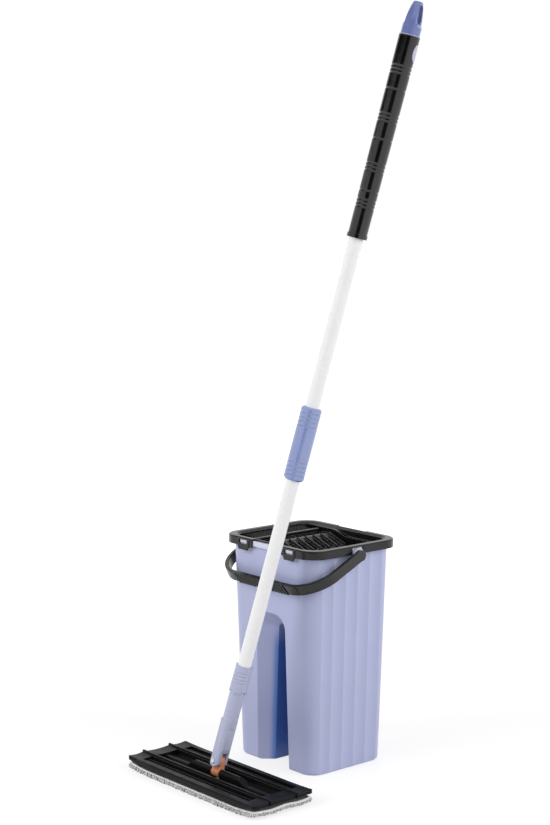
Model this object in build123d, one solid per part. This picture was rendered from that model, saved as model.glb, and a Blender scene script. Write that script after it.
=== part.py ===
from build123d import *
import os
from math import asin, atan2, cos, degrees, hypot, radians, sin

# A flat squeeze mop standing beside its two-legged wash-and-wring bucket.
# Millimetres, +Z up, origin on the floor under the middle of the bucket, front at -Y.

# Clearances
running_gap = 0.06  # radial, on pins and studs that turn
press_gap = 0.02  # radial, on pieces fixed in each other
seat_gap = 0.3  # between faces that move past each other
skirt_gap = 0.5  # cover skirt to bucket lip
lip_gap = 0.4  # cover flange to the top of the lip

# Cover rim
rim_x = 231.3
rim_y = 196.7
rim_corner = 32.0
rim_round = 2.4
skirt_thick = 2.4
skirt_height = 14.0
flange_thick = 2.8

# Bucket shell
lip_z = 374.8
lip_overhang = 5.1
lip_thick = 2.4
lip_skirt = 2.0
lip_height = 8.8
base_x = 192.2
base_y = 162.9
base_corner = 27.0
base_round = 5.0
base_steps = 3
mouth_corner = 30.0
wall = 2.4
floor_thick = 3.0
flute_count = 5
flute_width = 26.4
flute_depth = 2.6
flute_middle_y = -4.0

# Arch between the legs
leg_gap = 39.0
leg_gap_front = 79.6
leg_chamfer = 21.4
arch_height = 236.0
arch_flare = 0.83
arch_corner = 8.0
arch_corner_front = 33.0
arch_draft = 0.04
arch_overrun = 15.0

# Snap clips and catches
clip_x = 57.5
clip_width = 30.0
clip_foot = 22.0
clip_height = 18.0
clip_thick = 2.4
window_width = 20.0
window_height = 7.5
window_drop = 3.0
catch_height = 5.0
catch_proud = 1.3
notch_half = 36.0
notch_depth = 4.0
pour_notch_width = 10.0
pour_notch_depth = 1.0

# Tray in the cover
tray_x = 205.6
tray_y = 174.6
tray_corner = 26.8
tray_wall = 2.2
tray_inset = 2.4
mouth_bevel = 4.6
mouth_bevel_depth = 3.0
tray_floor = 2.4
upper_depth = 11.4
lower_depth = 28.7
ramp_start_x = -38.4
ramp_end_x = 12.2
ramp_blend = 6.0
ledge_width = 5.0
ledge_depth = 3.8
ledge_low_depth = 12.8
ledge_start_x = -27.0
ledge_end_x = 3.0
ledge_blend = 40.0
slot_x = -51.5
slot_width = 18.0
slot_length = 136.0
wash_x = 68.0
wash_width = 50.0
wash_length = 134.0
wash_corner = 12.0

# Pieces seated in the tray
ramp_side_gap = 1.7
ramp_edge = 4.8
ramp_plate = 1.6
ramp_margin = 4.0
rib_count = 9
rib_thick = 2.6
rib_height = 3.4
rib_nose = 0.6  # share of the rib's height that is rounded off
drain_width = 8.0
drain_share = 0.7
drain_rim = 3.0
board_x = 29.5
board_y = 134.0
board_plate = 1.2
board_rise = 4.5
board_ridge = 1.6
board_ridge_width = 2.4
board_pitch = 9.0
bar_width = 7.0
bar_height = 5.2
bar_overlap = 8.5
squeegee_wall = 3.0
squeegee_height = 20.0
lip_root = 7.0
lip_reach = 3.5
lip_edge = 1.5
lip_slope = 5.0

# Bail handle
pivot_drop = 12.5
ear_radius = 11.5
ear_proud = 2.4
stud_radius = 5.0
stud_length = 5.0
bail_gap = 0.5
bail_thick = 6.8
bail_depth = 18.0
bail_reach = 120.0
bail_corner = 58.0
bail_round = 1.6
bail_angle = 25.0
bail_rib_count = 17
bail_rib_pitch = 7.4
bail_rib_thick = 3.0
bail_rib_proud = 1.6
bail_rib_angle = 30.0

# Mop plate, with its long way along X
plate_x = 23.4
plate_y = -219.0
plate_length = 323.8
plate_width = 123.0
plate_corner = 6.0
plate_bottom = 11.0
plate_top = 22.0
plate_end_lift = 6.0
plate_end_rise = 1.5
plate_flat = 200.0
plate_round = 3.0
pocket_floor = 3.0
pocket_end = 27.0
pocket_edge = 10.5
long_rib_y = 27.0
long_rib_thick = 3.2
long_rib_height = 3.5
long_rib_overhang = 2.5
lane_rib_count = 2
lane_rib_height = 5.0
lane_rib_thick = 2.0
spine_radius = 5.0
housing_length = 46.0
housing_slope = 15.0
housing_radius = 5.8
end_dip = 1.8
yoke_window = 15.0

# Pad and its hook strips
pad_past_ends = 0.1
pad_short_of_sides = 0.5
pad_length = plate_length + 2 * pad_past_ends
pad_width = plate_width - 2 * pad_short_of_sides
pad_thick = 9.6
pad_corner = 9.0
pad_crown = 3.0
strip_thick = 1.4
strip_width = 22.0
strip_length = 190.0
strip_y = 37.0

# Universal joint
trunnion_z = 23.4
trunnion_radius = 3.0
trunnion_length = 80.0
axis_step = 18.0
barrel_radius = 8.0
barrel_half = 9.0
barrel_chamfer = 1.0
yoke_gap = 1.0
tongue_thick = 9.0
tongue_radius = 9.5
pin_radius = 3.0
pin_head_radius = 4.4
pin_head = 1.3
pin_head_bevel = 0.9

# Rest pose of the pole
tilt_angle = 11.08  # towards the bucket, about the plate's long axis
fold_angle = 9.35  # along the plate, about the hinge pin
grip_angle = 24.0  # the grip's inlay and hanging eye, about the pole

# Pole stations, measured along the pole from the hinge pin
fork_crotch = 16.0
fork_swell_low = 14.0
fork_swell_top = 22.0
fork_near = 13.5
fork_far = 12.2
fork_depth = 22.0
fork_round = 2.0
fork_turned = 13.6
fork_turned_shift = 1.2
socket_step = 70.0
neck_radius = 12.4
neck_top = 150.0
collar_start = 117.5
collar_end = 162.0
collar_radius_low = 14.3
collar_radius_top = 13.4
collar_scallop = 9.0
collar_scallop_rise = 3.0
collar_ring_pitch = 5.6
collar_ring_margin = 16.0
tube_start = 84.0
tube_radius = 11.2
tube_wall = 0.8
tube_joint = 530.7
tube_end = 1171.0
sleeve_start = 471.5
sleeve_end = 590.0
sleeve_radius = 16.5
sleeve_round = 3.0
sleeve_ring_pitch = 7.0
sleeve_ring_margin = 9.0
ring_count = 4
ring_width = 2.2
ring_depth = 0.7
insert_length = 38.0
stud_screw_radius = 6.0
stud_screw_length = 22.0
plug_length = 30.0
plug_spigot = 6.0
plug_spigot_length = 10.0
grip_start = 862.5
grip_end = 1178.0
grip_radius_low = 15.0
grip_radius_top = 16.5
grip_lip_radius = 16.2
grip_lip = 6.5
grip_groove_width = 3.4
grip_groove_depth = 0.9
grip_groove_pitch = 5.8
grip_groups = [917.1, 973.9, 1051.5, 1126.3]
grip_lines = [936.8, 1017.8, 1096.0]
inlay_station = 1155.0
inlay_height = 26.4
inlay_width = 13.0
inlay_proud = 0.5
inlay_depth = 1.2
cap_length = 54.0
cap_radius = 15.0
cap_shoulder = 20.0
cap_tip_radius = 7.5
cap_rim = 2.4
cap_lip = 0.8
cap_flat = 19.0
cap_flat_tip = 12.0
cap_flat_rise = 8.0
cap_waist = 13.2
cap_shank = 24.0
eye_width = 13.5
eye_length = 29.0
eye_from_tip = 4.5

# Places worked out from the sizes
rim_top = lip_z + lip_gap + flange_thick
lip_x = rim_x - 2 * (skirt_thick + skirt_gap)
lip_y = rim_y - 2 * (skirt_thick + skirt_gap)
lip_corner = rim_corner - skirt_thick - skirt_gap
mouth_x = lip_x - 2 * lip_overhang
mouth_y = lip_y - 2 * lip_overhang
upper_z = rim_top - upper_depth
lower_z = rim_top - lower_depth
ear_face = rim_x / 2 + ear_proud
pivot_z = lip_z - pivot_drop
tray_bed = tray_y / 2 - tray_wall - tray_inset - ledge_width
ramp_width = 2 * (tray_bed - ramp_side_gap)
rib_pitch = (ramp_width - 2 * ramp_edge) / (rib_count - 1)
bar_length = slot_length + 2 * bar_overlap
far = 2 * rim_x  # longer than any cut across the bucket
near = 0.01  # how close two places count as the same


def ring_x(radius, length, x, y, z):
    """A cylinder along X, from x towards +X."""
    return Pos(x + length / 2, y, z) * Rot(0, 90, 0) * Cylinder(radius, length)


def cyl_y(radius, length, z=0.0):
    """A cylinder along Y, about the middle."""
    return Pos(0, 0, z) * Rot(90, 0, 0) * Cylinder(radius, length)


def cyl_z(radius, low, high):
    """An upright cylinder between two heights."""
    return Pos(0, 0, (low + high) / 2) * Cylinder(radius, high - low)


def slab(x_low, x_high, y_low, y_high, z_low, z_high):
    """A box given by its limits."""
    middle = Pos((x_low + x_high) / 2, (y_low + y_high) / 2, (z_low + z_high) / 2)
    return middle * Box(x_high - x_low, y_high - y_low, z_high - z_low)


def rounded(x_size, y_size, corner, z):
    """A rounded rectangle at a height."""
    return Plane.XY.offset(z) * RectangleRounded(x_size, y_size, corner)


def prism(x_size, y_size, corner, z_low, z_high):
    """An upright rounded block between two heights."""
    return extrude(rounded(x_size, y_size, corner, z_low), amount=z_high - z_low)


def turned(points):
    """A solid of revolution about Z from its (radius, height) outline."""
    outline = Polyline([(r, 0, z) for r, z in points], close=True)
    return revolve(make_face(outline), axis=Axis.Z)


# Bucket


def bucket_section(z, inset_x, inset_y):
    """The tapered wall's rounded outline at a height, moved inwards."""
    share = z / lip_z
    x_size = base_x + (mouth_x - base_x) * share - 2 * inset_x
    y_size = base_y + (mouth_y - base_y) * share - 2 * inset_y
    corner = base_corner + (mouth_corner - base_corner) * share - inset_y
    return rounded(x_size, y_size, corner, z)


def arch_section(y, grow):
    """The arch's outline in an upright plane, wider towards the front and back."""
    depth = max(0.0, abs(y) - (base_y / 2 - leg_chamfer))
    flare = (leg_gap_front - leg_gap) / 2 / leg_chamfer
    half = leg_gap / 2 + flare * depth + grow
    top = arch_height + arch_flare * depth + grow
    mouth_depth = leg_chamfer + arch_overrun
    corner = arch_corner + (arch_corner_front - arch_corner) * depth / mouth_depth
    low = -arch_overrun
    low_half = half - arch_draft * low
    top_half = half - arch_draft * top
    corners = [(-low_half, low), (low_half, low), (top_half, top), (-top_half, top)]
    face = make_face(Polyline(corners, close=True))
    face = fillet(face.vertices().group_by(Axis.Y)[-1], corner)
    return Plane(origin=(0, y, 0), x_dir=(1, 0, 0), z_dir=(0, -1, 0)) * face


def arch(grow):
    """The tunnel between the legs, flared at both ends."""
    mouth = base_y / 2 + arch_overrun
    throat = base_y / 2 - leg_chamfer
    stations = [-mouth, -throat, throat, mouth]
    return loft([arch_section(y, grow) for y in stations], ruled=True)


def flutes():
    """Shallow upright scallops on the two end faces."""
    bend = flute_width**2 / (8 * flute_depth) + flute_depth / 2
    tilt = degrees(atan2((mouth_x - base_x) / 2, lip_z))
    cutters = []
    for side in (-1, 1):
        for number in range(flute_count):
            y = flute_middle_y + (number - (flute_count - 1) / 2) * flute_width
            x = side * ((base_x + mouth_x) / 4 + bend - flute_depth)
            place = Pos(x, y, lip_z / 2) * Rot(0, side * tilt, 0)
            cutters.append(place * Cylinder(bend, 2 * lip_z))
    return cutters


def make_bucket():
    """The two-legged shell with its lip, catches, bail ears and studs."""
    sections = [bucket_section(lip_z, 0, 0)]
    for number in range(base_steps + 1):
        turn = radians(90 * number / base_steps)
        inset = base_round * (1 - cos(turn))
        sections.append(bucket_section(base_round * (1 - sin(turn)), inset, inset))
    outer = loft(list(reversed(sections)), ruled=True)
    outer = outer - flutes()
    side = wall + flute_depth
    cavity_ends = [bucket_section(z, side, wall) for z in (floor_thick, lip_z + wall)]
    cavity = loft(cavity_ends, ruled=True)
    body = outer - arch(0) - (cavity - arch(wall))
    flange = prism(lip_x, lip_y, lip_corner, lip_z - lip_thick, lip_z) - cavity
    hem = prism(lip_x, lip_y, lip_corner, lip_z - lip_height, lip_z)
    hem -= prism(lip_x - 2 * lip_skirt, lip_y - 2 * lip_skirt, lip_corner - lip_skirt, 0, lip_z)
    body = body + flange + hem
    window_mid = rim_top - window_drop - window_height / 2
    catch_x = window_width - 2 * seat_gap
    for end in (-1, 1):
        for x in (-clip_x, clip_x):
            y = end * (lip_y / 2 + catch_proud / 2 - lip_skirt / 2)
            body += Pos(x, y, window_mid) * Box(catch_x, catch_proud + lip_skirt, catch_height)
    for side in (-1, 1):
        inner_x = mouth_x / 2 - wall
        ear = ring_x(ear_radius, ear_face - inner_x, inner_x, 0, pivot_z)
        ear += ring_x(stud_radius, stud_length, ear_face, 0, pivot_z)
        if side < 0:
            ear = mirror(ear, about=Plane.YZ)
        body += ear - cavity
    return body


# Wringer cover


def stepped_region(start, end, high, low, blend):
    """Everything above a surface that slopes from a high level to a low one."""
    points = [(-far, high), (start, high), (end, low), (far, low)]
    points += [(far, rim_top + far), (-far, rim_top + far)]
    face = make_face(Polyline(points, close=True))
    bends = [v for v in face.vertices() if abs(v.X) < far - 1]
    face = fillet(bends, blend)
    upright = Plane(origin=(0, 0, 0), x_dir=(1, 0, 0), z_dir=(0, -1, 0))
    return extrude(upright * face, amount=far, both=True)


def floor_region(rise):
    """Everything above the tray's stepped floor, moved up by a rise."""
    return stepped_region(ramp_start_x, ramp_end_x, upper_z + rise, lower_z + rise, ramp_blend)


def ledge_region():
    """Everything above the two ledges along the tray's front and back."""
    high = rim_top - ledge_depth
    low = rim_top - ledge_low_depth
    return stepped_region(ledge_start_x, ledge_end_x, high, low, ledge_blend)


def tray_block(inset):
    """The tray's tapered block, moved inwards by an inset."""
    low = lower_z - tray_floor
    top = rounded(tray_x - 2 * inset, tray_y - 2 * inset, tray_corner - inset, rim_top)
    shrink = 2 * (inset + tray_inset)
    bottom = rounded(tray_x - shrink, tray_y - shrink, tray_corner - inset, low)
    return loft([bottom, top], ruled=True)


def ramp_plane():
    """The ramp's top face: X runs down the slope, Z stands off it."""
    run = ramp_end_x - ramp_start_x
    drop = upper_z - lower_z
    return Plane(origin=(ramp_start_x, 0, upper_z), x_dir=(run, 0, -drop), z_dir=(drop, 0, run))


ramp_length = hypot(ramp_end_x - ramp_start_x, upper_z - lower_z)


def clip(end):
    """One snap tab on the skirt, with its window, at the front (-1) or back (1)."""
    high = rim_top - rim_round
    low = high - clip_height
    inner = lip_y / 2 + catch_proud + seat_gap
    shoulder = high - clip_height / 2
    points = [
        (-clip_width / 2, high),
        (clip_width / 2, high),
        (clip_width / 2, shoulder),
        (clip_foot / 2, low),
        (-clip_foot / 2, low),
        (-clip_width / 2, shoulder),
    ]
    face = make_face(Polyline(points, close=True))
    plane = Plane(origin=(0, end * inner, 0), x_dir=(-end, 0, 0), z_dir=(0, end, 0))
    return extrude(plane * face, amount=clip_thick)


def make_cover():
    """The tray with its rim, skirt, floor openings, ledges and snap tabs."""
    low = rim_top - skirt_height
    shell = prism(rim_x, rim_y, rim_corner, low, rim_top)
    shell = fillet(shell.edges().group_by(Axis.Z)[-1], rim_round)
    inside = rim_corner - skirt_thick
    room_x = rim_x - 2 * skirt_thick
    room_y = rim_y - 2 * skirt_thick
    shell -= prism(room_x, room_y, inside, low, rim_top - flange_thick)
    shell += tray_block(0) & floor_region(-tray_floor)
    room = tray_block(tray_wall)
    bed = tray_bed
    shell -= room & floor_region(0) & slab(-far, far, -bed, bed, 0, far)
    shell -= room & ledge_region()
    inner_x = tray_x - 2 * tray_wall
    inner_y = tray_y - 2 * tray_wall
    bevel_low = rounded(inner_x, inner_y, tray_corner - tray_wall, rim_top - mouth_bevel_depth)
    wide = 2 * mouth_bevel
    bevel_high = rounded(inner_x + wide, inner_y + wide, tray_corner - tray_wall + mouth_bevel, rim_top)
    shell -= loft([bevel_low, bevel_high], ruled=True)
    slot_low = slot_x - slot_width / 2
    shell -= slab(slot_low, slot_low + slot_width, -slot_length / 2, slot_length / 2, 0, rim_top)
    shell -= Pos(wash_x, 0, 0) * prism(wash_width, wash_length, wash_corner, 0, rim_top)
    hole_margin = ramp_margin + drain_rim
    ramp_hole = slab(hole_margin, ramp_length - hole_margin, -bed, bed, -far, far)
    shell -= ramp_plane() * ramp_hole & slab(-far, far, -bed + drain_rim, bed - drain_rim, 0, rim_top)
    ear_half = ear_radius + skirt_gap
    shell -= slab(-far, far, -ear_half, ear_half, 0, rim_top - flange_thick) - tray_block(0)
    window_top = rim_top - window_drop
    catch_half = window_width / 2
    for end in (-1, 1):
        edge = end * (lip_y / 2 - notch_depth)
        shell -= slab(-notch_half, notch_half, min(edge, end * far), max(edge, end * far), 0, far)
        for x in (-clip_x, clip_x):
            shell += Pos(x, 0, 0) * clip(end)
            pass_by = sorted([end * lip_y / 2, end * (lip_y / 2 + catch_proud + seat_gap)])
            shell -= slab(x - catch_half, x + catch_half, *pass_by, 0, window_top)
            window = sorted([end * lip_y / 2, end * far])
            window_low = window_top - window_height
            shell -= slab(x - catch_half, x + catch_half, *window, window_low, window_top)
    corner_reach = rim_corner - pour_notch_depth
    corner_place = Pos(rim_x / 2 - rim_corner, rim_corner - rim_y / 2, 0) * Rot(0, 0, -45)
    notch_high = rim_top - rim_round - pour_notch_depth
    notch_side = pour_notch_width / 2
    notch = slab(corner_reach, 2 * rim_corner, -notch_side, notch_side, 0, notch_high)
    shell -= corner_place * notch
    return shell


def make_washboard():
    """The scrubbing panel: a wedge with crossing ridges on its slope."""
    right = slot_x - slot_width / 2 - bar_width - seat_gap
    left = right - board_x
    low = upper_z + board_plate
    points = [(left, upper_z), (right, upper_z), (right, low), (left, low + board_rise)]
    upright = Plane(origin=(0, 0, 0), x_dir=(1, 0, 0), z_dir=(0, -1, 0))
    wedge = extrude(upright * make_face(Polyline(points, close=True)), amount=board_y / 2, both=True)
    middle = ((left + right) / 2, 0, low + board_rise / 2)
    slope = Plane(origin=middle, x_dir=(board_x, 0, -board_rise), z_dir=(board_rise, 0, board_x))
    length = hypot(board_x, board_rise)
    ridges = []
    count = int((board_x + board_y) / 2 / board_pitch)
    for turn in (-45, 45):
        for number in range(-count, count + 1):
            y = number * board_pitch * 2**0.5 / 2
            ridge = Box(2 * board_x, board_ridge_width, board_ridge)
            ridges.append(Pos(0, y, board_ridge / 2) * Rot(0, 0, turn) * ridge)
    side = length / 2 - board_ridge
    frame = slab(-side, side, -board_y / 2, board_y / 2, 0, board_ridge)
    lattice = ridges[0].fuse(*ridges[1:]) & frame
    return wedge + slope * lattice


def make_scraper_bar():
    """The rounded bar along the slot, which scrapes the pad."""
    right = slot_x - slot_width / 2
    bar = slab(right - bar_width, right, -bar_length / 2, bar_length / 2, upper_z, upper_z + bar_height)
    upright = bar.edges().filter_by(Axis.Z)
    bar = fillet(upright, bar_width / 2 - seat_gap)
    return fillet(bar.edges().group_by(Axis.Z)[-1], bar_width / 4)


def make_drain_ramp():
    """The ribbed grate that lies on the ramp."""
    low = ramp_margin
    high = ramp_length - ramp_margin
    half = ramp_width / 2
    grate = slab(low, high, -half, half, 0, ramp_plate)
    first = -(rib_count - 1) / 2 * rib_pitch
    for number in range(rib_count):
        y = first + number * rib_pitch
        rib = slab(low, high, y - rib_thick / 2, y + rib_thick / 2, ramp_plate, ramp_plate + rib_height)
        grate += fillet(rib.edges().filter_by(Axis.Y).group_by(Axis.Z)[-1], rib_height * rib_nose)
    drain_low = high - drain_rim - drain_share * (high - low)
    for number in range(rib_count - 1):
        y = first + (number + 0.5) * rib_pitch
        grate -= slab(drain_low, high - drain_rim, y - drain_width / 2, y + drain_width / 2, -far, far)
    return ramp_plane() * grate


def make_squeegee_frame():
    """The frame under the slot that carries the rubber lips."""
    top = upper_z - tray_floor
    outer = Pos(slot_x, 0, top - squeegee_height / 2)
    frame = outer * Box(slot_width + 2 * squeegee_wall, slot_length + 2 * squeegee_wall, squeegee_height)
    return frame - outer * Box(slot_width, slot_length, 2 * squeegee_height)


def make_squeegee_lip(side):
    """One rubber lip, leaning down into the slot from the left (-1) or right (1)."""
    low = upper_z - tray_floor - squeegee_height
    root = side * slot_width / 2
    tip = side * (slot_width / 2 - lip_reach)
    tip_low = low + lip_root - lip_slope
    points = [(root, low + 2 * lip_root), (root, low + lip_root), (tip, tip_low), (tip, tip_low + lip_edge)]
    face = make_face(Polyline(points, close=True))
    plane = Plane(origin=(slot_x, 0, 0), x_dir=(1, 0, 0), z_dir=(0, -1, 0))
    return extrude(plane * face, amount=slot_length / 2 - seat_gap, both=True)


# Bail handle


def make_bail():
    """The strap handle with its pierced arm ends and slanted grip ribs."""
    inner_half = ear_face + bail_gap
    outer_half = inner_half + bail_thick
    outer = Pos(0, bail_reach / 2) * Rectangle(2 * outer_half, bail_reach)
    outer = fillet(outer.vertices().group_by(Axis.Y)[-1], bail_corner)
    inner_reach = bail_reach - bail_thick
    inner = Pos(0, inner_reach / 2) * Rectangle(2 * inner_half, inner_reach)
    inner = fillet(inner.vertices().group_by(Axis.Y)[-1], bail_corner - bail_thick)
    bail = extrude(outer - inner, amount=bail_depth / 2, both=True)
    strap = [e for e in bail.edges() if abs(abs(e.center().Z) - bail_depth / 2) < near]
    bail = fillet([e for e in strap if e.center().Y > near], bail_round)
    for side in (-1, 1):
        start = inner_half if side > 0 else -outer_half
        bail += ring_x(bail_depth / 2, bail_thick, start, 0, 0)
    band = slab(-far, far, bail_reach - bail_thick / 2, far, -bail_depth / 2, bail_depth / 2)
    first = -(bail_rib_count - 1) / 2 * bail_rib_pitch
    for number in range(bail_rib_count):
        x = first + number * bail_rib_pitch
        rib = Box(bail_rib_thick, 2 * bail_rib_proud, 2 * bail_depth)
        bail += (Pos(x, bail_reach, 0) * Rot(0, bail_rib_angle, 0) * rib) & band
    hole = stud_length - bail_gap + seat_gap
    for side in (-1, 1):
        start = inner_half if side > 0 else -inner_half - hole
        bail -= ring_x(stud_radius + running_gap, hole, start, 0, 0)
    hang = radians(bail_angle)
    hung = Plane(origin=(0, 0, pivot_z), x_dir=(1, 0, 0), z_dir=(0, sin(hang), -cos(hang)))
    return hung * bail


# Mop head, built about the middle of the plate at x = y = 0


def plate_block():
    """The plate's body: ends swept up, long edges rounded."""
    half = plate_length / 2
    flat = plate_flat / 2
    lift = plate_bottom + plate_end_lift
    rise = plate_top + plate_end_rise
    outline = [
        Line((-flat, plate_bottom), (flat, plate_bottom)),
        TangentArc((flat, plate_bottom), (half, lift), tangent=(1, 0)),
        Line((half, lift), (half, rise)),
        TangentArc((flat, plate_top), (half, rise), tangent=(1, 0)),
        Line((flat, plate_top), (-flat, plate_top)),
        TangentArc((-flat, plate_top), (-half, rise), tangent=(-1, 0)),
        Line((-half, rise), (-half, lift)),
        TangentArc((-flat, plate_bottom), (-half, lift), tangent=(-1, 0)),
    ]
    upright = Plane(origin=(0, 0, 0), x_dir=(1, 0, 0), z_dir=(0, -1, 0))
    block = extrude(upright * make_face(outline), amount=plate_width / 2, both=True)
    side_edges = [e for e in block.edges() if abs(e.center().Y) > plate_width / 2 - near]
    long_edges = [e for e in side_edges if e.length > plate_top]
    block = fillet(long_edges, plate_round)
    return block & prism(plate_length, plate_width, plate_corner, 0, 2 * plate_top)


def end_dips():
    """Shallow hollows across the end borders, between the long ribs."""
    edges = [-plate_width / 2, -long_rib_y, long_rib_y, plate_width / 2]
    reach = plate_length / 2
    cutters = []
    for low, high in zip(edges, edges[1:]):
        width = high - low - long_rib_thick
        bend = width**2 / (8 * end_dip) + end_dip / 2
        z = plate_top + plate_end_rise + bend - end_dip
        for start in (-2 * reach, reach - pocket_end - near):
            cutters.append(ring_x(bend, reach + pocket_end + near, start, (low + high) / 2, z))
    return cutters


def trunnion_housing(start, floor):
    """One round-backed housing of the trunnion pin, sloping down at its far end."""
    finish = start + housing_length
    top = trunnion_z + housing_radius
    points = [
        (start, floor),
        (start, top),
        (finish, top),
        (finish + housing_slope, floor + spine_radius),
        (finish + housing_slope, floor),
    ]
    upright = Plane(origin=(0, 0, 0), x_dir=(1, 0, 0), z_dir=(0, -1, 0))
    side_view = extrude(upright * make_face(Polyline(points, close=True)), amount=housing_radius, both=True)
    back = ring_x(housing_radius, far, 0, 0, trunnion_z)
    back += slab(0, far, -housing_radius, housing_radius, 0, trunnion_z)
    return side_view & back


def make_plate():
    """The black base plate with lanes, ribs and trunnion housings."""
    plate = plate_block() - end_dips()
    floor = plate_bottom + pocket_floor
    pocket_half = plate_length / 2 - pocket_end
    lane_in = long_rib_y + long_rib_thick
    lane_out = plate_width / 2 - pocket_edge
    for side in (-1, 1):
        lane = sorted([side * lane_in, side * lane_out])
        plate -= slab(-pocket_half, pocket_half, *lane, floor, 2 * plate_top)
        lane_pitch = (lane_out - lane_in) / (lane_rib_count + 1)
        for number in range(lane_rib_count):
            y = side * (lane_in + (number + 1) * lane_pitch)
            rib = (y - lane_rib_thick / 2, y + lane_rib_thick / 2)
            plate += slab(-pocket_half, pocket_half, *rib, floor, floor + lane_rib_height)
    centre = long_rib_y - long_rib_thick
    plate -= slab(-pocket_half, pocket_half, -centre, centre, floor, 2 * plate_top)
    spine = ring_x(spine_radius, 2 * pocket_half, -pocket_half, 0, floor)
    plate += spine & slab(-far, far, -far, far, floor, far)
    for side in (-1, 1):
        y = side * long_rib_y
        rib_half = plate_length / 2 + long_rib_overhang
        top = plate_top + long_rib_height
        rib_low = plate_bottom + plate_end_lift
        plate += slab(-rib_half, rib_half, y - long_rib_thick / 2, y + long_rib_thick / 2, rib_low, top)
        plate += slab(-pocket_half, pocket_half, y - long_rib_thick / 2, y + long_rib_thick / 2, floor, top)
    start = barrel_half + yoke_gap
    housing = trunnion_housing(start, floor)
    plate = plate + housing + mirror(housing, about=Plane.YZ)
    plate -= slab(-start, start, -yoke_window, yoke_window, 0, far)
    pin_half = trunnion_length / 2 + seat_gap
    plate -= ring_x(trunnion_radius + press_gap, 2 * pin_half, -pin_half, 0, trunnion_z)
    return plate


def make_pad():
    """The pad's plain body: crowned edges, flat underneath."""
    pad = prism(pad_length, pad_width, pad_corner, 0, pad_thick)
    return fillet(pad.edges().group_by(Axis.Z)[-1], pad_crown)


def make_strip(side):
    """One hook strip under the plate, at the front (-1) or back (1)."""
    y = side * strip_y
    return Pos(0, y, plate_bottom - strip_thick / 2) * Box(strip_length, strip_width, strip_thick)


def make_trunnion_pin():
    """The steel pin that the yoke rocks on."""
    pin = ring_x(trunnion_radius, trunnion_length, -trunnion_length / 2, 0, trunnion_z)
    return chamfer(pin.edges(), trunnion_radius / 5)


# Yoke, upright about the trunnion axis


def make_yoke():
    """The cross-piece: a barrel on the trunnion pin and a tongue in the fork."""
    barrel = ring_x(barrel_radius, 2 * barrel_half, -barrel_half, 0, 0)
    barrel = chamfer(barrel.edges(), barrel_chamfer)
    tongue_half = tongue_thick / 2
    tongue = slab(-tongue_radius, tongue_radius, -tongue_half, tongue_half, 0, axis_step)
    tongue += cyl_y(tongue_radius, tongue_thick, axis_step)
    yoke = barrel + tongue
    yoke -= ring_x(trunnion_radius + running_gap, 4 * barrel_half, -2 * barrel_half, 0, 0)
    return yoke - cyl_y(pin_radius + running_gap, 2 * tongue_thick, axis_step)


# Pole, upright about the hinge pin


def make_hinge_pin():
    """The riveted pin through the fork, with a domed head at each end."""
    middle = (fork_far - fork_near) / 2
    length = fork_near + fork_far
    pin = Pos(0, middle, 0) * cyl_y(pin_radius, length)
    for side in (-1, 1):
        place = Pos(0, middle + side * (length + pin_head) / 2, 0) * Rot(90, 0, 0)
        head = place * Cylinder(pin_head_radius, pin_head)
        outer = head.edges().sort_by(Axis.Y)[-1 if side > 0 else 0]
        pin += chamfer(outer, pin_head_bevel)
    return pin


def make_socket():
    """The fork and the neck that holds the lower tube."""
    ear = tongue_radius
    half = fork_depth / 2
    outline = [
        Line((ear, 0), (ear, fork_swell_low)),
        Line((ear, fork_swell_low), (half, fork_swell_top)),
        Line((half, fork_swell_top), (half, socket_step)),
        Line((half, socket_step), (-half, socket_step)),
        Line((-half, socket_step), (-half, fork_swell_top)),
        Line((-half, fork_swell_top), (-ear, fork_swell_low)),
        Line((-ear, fork_swell_low), (-ear, 0)),
        ThreePointArc((-ear, 0), (0, -ear), (ear, 0)),
    ]
    far_side = Plane(origin=(0, fork_far, 0), x_dir=(1, 0, 0), z_dir=(0, -1, 0))
    body = extrude(far_side * make_face(outline), amount=fork_near + fork_far)
    ends = (-fork_near, fork_far)
    rims = [e for e in body.edges() if min(abs(e.center().Y - y) for y in ends) < near]
    body = fillet(rims, fork_round)
    body &= Pos(0, -fork_turned_shift, 0) * cyl_z(fork_turned, -socket_step, 2 * socket_step)
    body += cyl_z(neck_radius, socket_step - neck_radius, neck_top)
    gap = tongue_thick / 2 + seat_gap
    body -= slab(-far, far, -gap, gap, -far, fork_crotch)
    body -= cyl_y(pin_radius + press_gap, 4 * fork_near)
    body -= cyl_z(tube_radius + press_gap, tube_start, neck_top + tube_radius)
    return body - cyl_z(plug_spigot + press_gap, tube_start - plug_spigot_length - seat_gap, neck_top)


def ring_points(radius, centre, width, depth):
    """Outline points of one V-shaped ring groove, from the bottom up."""
    low = centre - width / 2
    high = centre + width / 2
    return [(radius(low), low), (radius(centre) - depth, centre), (radius(high), high)]


def make_collar():
    """The ringed collar over the neck, with a scalloped lower edge."""

    def radius(z):
        share = (z - collar_start) / (collar_end - collar_start)
        return collar_radius_low + (collar_radius_top - collar_radius_low) * share

    points = [(neck_radius + press_gap, collar_start), (radius(collar_start), collar_start)]
    for number in range(ring_count):
        centre = collar_start + collar_ring_margin + number * collar_ring_pitch
        points += ring_points(radius, centre, ring_width, ring_depth)
    points += [(radius(collar_end), collar_end), (tube_radius + press_gap, collar_end)]
    points += [(tube_radius + press_gap, neck_top + seat_gap), (neck_radius + press_gap, neck_top + seat_gap)]
    collar = turned(points)
    drop = collar_start + collar_scallop_rise - collar_scallop
    for turn in (0, 90):
        collar -= Rot(0, 0, turn) * cyl_y(collar_scallop, 4 * neck_radius, drop)
    return collar


def make_tube(low, high):
    """One painted steel tube."""
    return cyl_z(tube_radius, low, high) - cyl_z(tube_radius - tube_wall, low, high)


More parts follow.
